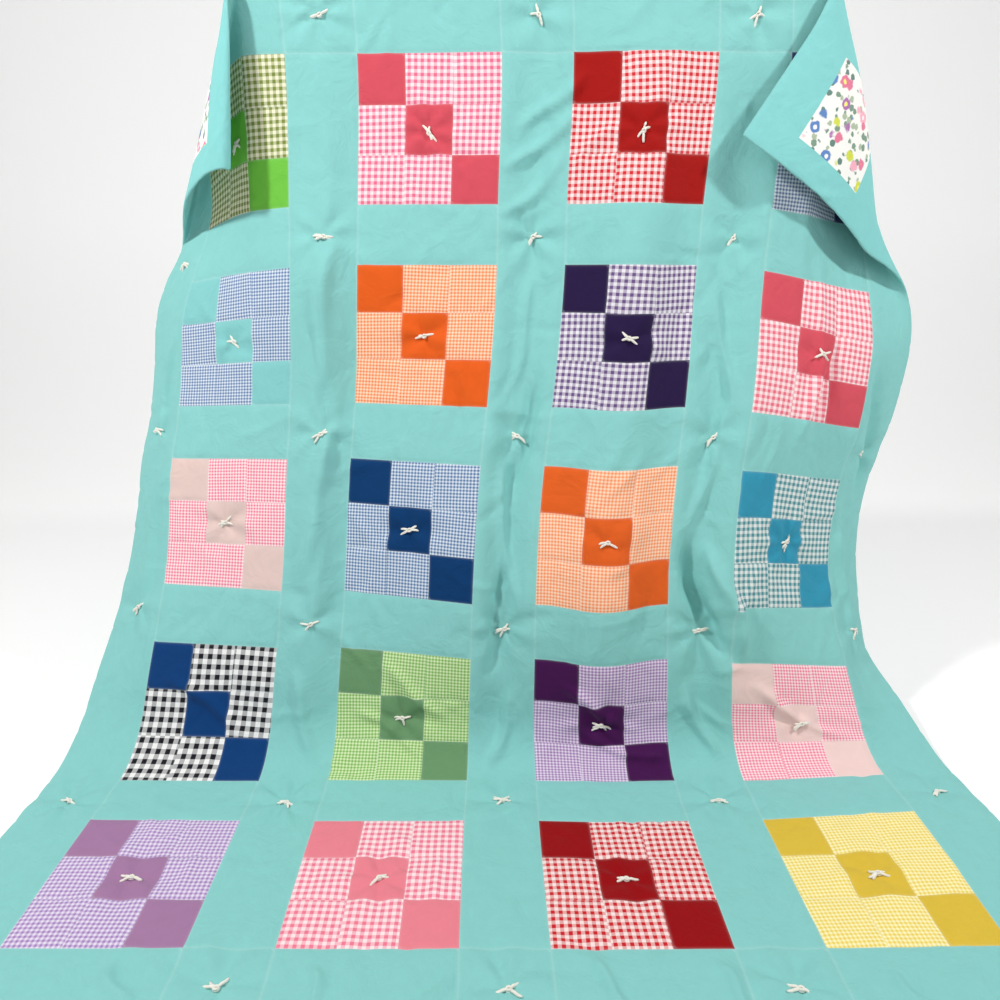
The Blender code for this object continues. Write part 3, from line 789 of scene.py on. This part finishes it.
# Print squares on the backing, at these flat places (s, t, side). Only the fallen corners show
# any, so the rest of the backing is left plain.
PRINTS = ((2.72, 0.62, 0.62), (-2.72, 0.62, 0.62))
back_which = np.zeros(cell_s.size, int)
for ps, pt, side in PRINTS:
    hit = (np.abs(cell_s - ps) < side / 2) & (np.abs(cell_t - pt) < side / 2)
    back_which[hit.reshape(-1)] = 1
back_slots = [
    cloth_material("backing_turquoise", PLAIN, (132, 203, 202)),
    material_of("backing_flowers", floral_group())[0],
]

# The outer edge of the grid, as one closed ring of cells.
ring = [(i, 0) for i in range(rows)] + [(rows - 1, j) for j in range(1, cols)]
ring += [(i, cols - 1) for i in range(rows - 2, -1, -1)] + [(0, j) for j in range(cols - 2, 0, -1)]
quilt_back = mesh_from("quilt_back", back, grid_faces(rows, cols, True))
dress(quilt_back, back_slots, back_which, np.zeros((cell_s.size, 3)), SEAM * 0)


EDGE_STEPS = 6  # cells round the thickness of the outer edge


def edge_strip():
    """The rounded outer edge, where the front turns under and meets the backing."""
    count, rings = len(ring), []
    f = np.array([front[i, j] for i, j in ring])
    b = np.array([back[i, j] for i, j in ring])
    inner = np.array([middle[min(max(i, 2), rows - 3), min(max(j, 2), cols - 3)] for i, j in ring])
    out = unit((f + b) / 2 - inner)
    thick = np.linalg.norm(f - b, axis=1, keepdims=True)
    for k in range(EDGE_STEPS + 1):
        a = math.pi * k / EDGE_STEPS
        rings.append((f + b) / 2 + (f - b) / 2 * math.cos(a) + out * thick * 0.5 * math.sin(a))
    points = np.array(rings)
    faces = []
    for k in range(EDGE_STEPS):
        for m in range(count):
            n = (m + 1) % count
            faces.append((k * count + m, (k + 1) * count + m, (k + 1) * count + n, k * count + n))
    thing = mesh_from("quilt_edge", points, np.array(faces))
    data = thing.data
    data.materials.append(slots[0])
    layer = data.uv_layers.new(name="flat")
    at = (divmod(loop.vertex_index, count) for loop in data.loops)
    uv = np.array([(m * 0.006, k * 0.002) for k, m in at], np.float32)
    layer.data.foreach_set("uv", uv.reshape(-1))
    return thing


quilt_edge = edge_strip()


# ---------------------------------------------------------------- yarn ties
def tube(mesh, path, radii, sides=6):
    """Adds a tube along a path, closed at both ends."""
    path = [Vector(p) for p in path]
    up = Vector((0.31, 0.54, 0.78)).normalized()
    rings = []
    for k, point in enumerate(path):
        ahead = (path[min(k + 1, len(path) - 1)] - path[max(k - 1, 0)]).normalized()
        a = ahead.cross(up).normalized()
        b = ahead.cross(a)
        rings.append([
            mesh.verts.new(point + (a * math.cos(2 * math.pi * i / sides)
                                    + b * math.sin(2 * math.pi * i / sides)) * radii[k])
            for i in range(sides)
        ])
    for one, two in zip(rings, rings[1:]):
        for i in range(sides):
            mesh.faces.new((one[i], one[(i + 1) % sides], two[(i + 1) % sides], two[i]))
    mesh.faces.new(list(reversed(rings[0])))
    mesh.faces.new(rings[-1])


def surface_at(s, t):
    """Place, normal and direction across of the quilt's front near (s, t)."""
    i = int(np.clip(np.searchsorted(ACROSS, s), 1, rows - 2))
    j = int(np.clip(np.searchsorted(DOWN, t), 1, cols - 2))
    around = front[i - 1:i + 2, j - 1:j + 2].reshape(-1, 3).mean(0)
    n = unit(normal[i, j])
    across = unit(front[i + 1, j] - front[i - 1, j])
    across = unit(across - n * (across @ n))
    return Vector(around), Vector(n), Vector(across)


# A tie is a knot of two leaning loops, with a few loose ends.
KNOT_LONG, KNOT_WIDE, KNOT_YARN = 0.0038, 0.0032, 0.0019  # half sizes of a loop, and its yarn's radius
END_YARN = 0.0018  # radius of the yarn in a loose end
KNOT_STEPS, END_STEPS = 9, 7  # points round a loop, and along an end


def yarn_ties():
    """All the ties as one mesh, each one turned at random on the cloth."""
    mesh = bmesh.new()
    for s, t in TIES:
        centre, n, across = surface_at(s, t)
        down = n.cross(across)
        spin = random.uniform(-0.9, 0.9)
        a = across * math.cos(spin) + down * math.sin(spin)
        b = n.cross(a)
        at = centre + n * 0.0016
        for tilt in (0.5, -0.6):
            leant = b * math.cos(tilt) + n * math.sin(tilt)
            ring_path = []
            for k in range(KNOT_STEPS):
                w = 2 * math.pi * k / (KNOT_STEPS - 1)
                flat = a * math.cos(w) * KNOT_LONG + leant * math.sin(w) * KNOT_WIDE
                ring_path.append(at + flat + n * 0.0014)
            tube(mesh, ring_path, [KNOT_YARN] * KNOT_STEPS)
        for strand in range(random.integers(3, 6)):
            side = 1 if strand % 2 else -1
            swing = random.uniform(-0.75, 0.75)
            way = (a * side * math.cos(swing) + b * math.sin(swing)).normalized()
            length = random.uniform(0.012, 0.020)
            curl = random.uniform(-0.004, 0.004)
            droop = Vector((0, 0, -1)) * random.uniform(0.001, 0.004) * (0.0 if t > 5.6 else 1.0)
            path, radii = [], []
            for k in range(END_STEPS):
                u = k / (END_STEPS - 1)
                rise = 0.0022 * math.sin(min(1.0, u * 1.6) * math.pi) + 0.0012
                path.append(centre + way * (0.001 + length * u) + n * rise
                            + way.cross(n) * curl * u * u + droop * u * u)
                full = 1.0 + 0.35 * math.sin(u * math.pi)
                radii.append(END_YARN * full * (0.75 if k == END_STEPS - 1 else 1))
            tube(mesh, path, radii)
    bmesh.ops.recalc_face_normals(mesh, faces=mesh.faces)
    thing = object_of("yarn_ties", mesh)
    thing.data.materials.append(principled("tie_yarn", (243, 240, 230), 0.92, bump=0.0006, scale=1500.0))
    return thing


ties = yarn_ties()

# ---------------------------------------------------------------- the clips keep their CAD shape
metal = principled("clip_enamel", (52, 44, 58), 0.42, 0.75, bump=0.0002, scale=600.0)
for name in ("clip_left", "clip_right"):
    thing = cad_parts[name]
    thing.data.materials.clear()
    thing.data.materials.append(metal)

# ---------------------------------------------------------------- how the pieces belong
nodes = sorted(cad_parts)
for thing, slot in ((quilt_front, "patchwork"), (quilt_back, "backing_cloth"),
                    (quilt_edge, "patchwork"), (ties, "yarn")):
    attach(thing, "root")
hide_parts("quilt_top")
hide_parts("backing")
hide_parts(*[name for name in nodes if name.startswith("tie_")])


# ---------------------------------------------------------------- stage, light, camera
def sweep(name, z, wall_y, colour, glow):
    """A pale floor that curves up into a wall behind the quilt."""
    profile = [(-9.0, 0.0), (wall_y - 1.2, 0.0)]
    profile += [(wall_y - 1.2 + 1.2 * math.sin(a), 1.2 - 1.2 * math.cos(a))
                for a in (math.pi / 2 * k / 16 for k in range(1, 17))]
    profile += [(wall_y, 7.0)]
    mesh = bmesh.new()
    left, right = ([mesh.verts.new((x, y, z + h)) for y, h in profile] for x in (-9.0, 9.0))
    for k in range(len(profile) - 1):
        mesh.faces.new((left[k], right[k], right[k + 1], left[k + 1]))
    thing = object_of(name, mesh)
    paint = principled(name + "_paint", colour, 0.95)
    shader = paint.node_tree.nodes["Principled BSDF"]
    shader.inputs["Emission Color"].default_value = (1.0, 1.0, 1.0, 1.0)
    shader.inputs["Emission Strength"].default_value = glow
    thing.data.materials.append(paint)


sweep("floor", LOWEST - 0.0002, 2.6, (240, 240, 240), 0.24)


def lamp(name, place, aim, power, size, colour=(1.0, 1.0, 1.0)):
    data = bpy.data.lights.new(name, "AREA")
    data.energy, data.shape, data.size, data.color = power, "DISK", size, colour
    thing = bpy.data.objects.new(name, data)
    bpy.context.collection.objects.link(thing)
    thing.location = place
    thing.rotation_euler = (Vector(aim) - Vector(place)).to_track_quat("-Z", "Y").to_euler()


AIM = (0.0, -0.2, -0.7)
lamp("lamp_left", (-2.0, -1.35, 1.45), AIM, 66.0, 0.26, (1.0, 0.985, 0.96))
lamp("lamp_right", (2.1, -1.25, 1.40), AIM, 48.0, 0.26, (1.0, 0.985, 0.96))
lamp("lamp_front", (0.0, -3.4, 0.9), AIM, 9.0, 1.6)

world = bpy.data.worlds.new("room")
bpy.context.scene.world = world
world.use_nodes = True
world.node_tree.nodes["Background"].inputs[0].default_value = (1.0, 1.0, 1.0, 1.0)
world.node_tree.nodes["Background"].inputs[1].default_value = 0.30
bpy.context.scene.view_settings.view_transform = "Standard"

CAMERA_AT = (-0.24, -5.95, -1.92)  # in blocks, from the middle of the top edge
LOOK_DOWN = 17  # degrees
camera = bpy.data.cameras.new("camera")
camera.lens, camera.sensor_width, camera.sensor_fit = 27.2, 36.0, "HORIZONTAL"
view = bpy.data.objects.new("camera", camera)
bpy.context.collection.objects.link(view)
view.location = [block * BLOCK for block in CAMERA_AT]
view.rotation_euler = (math.radians(90 - LOOK_DOWN), 0.0, 0.0)
bpy.context.scene.camera = view
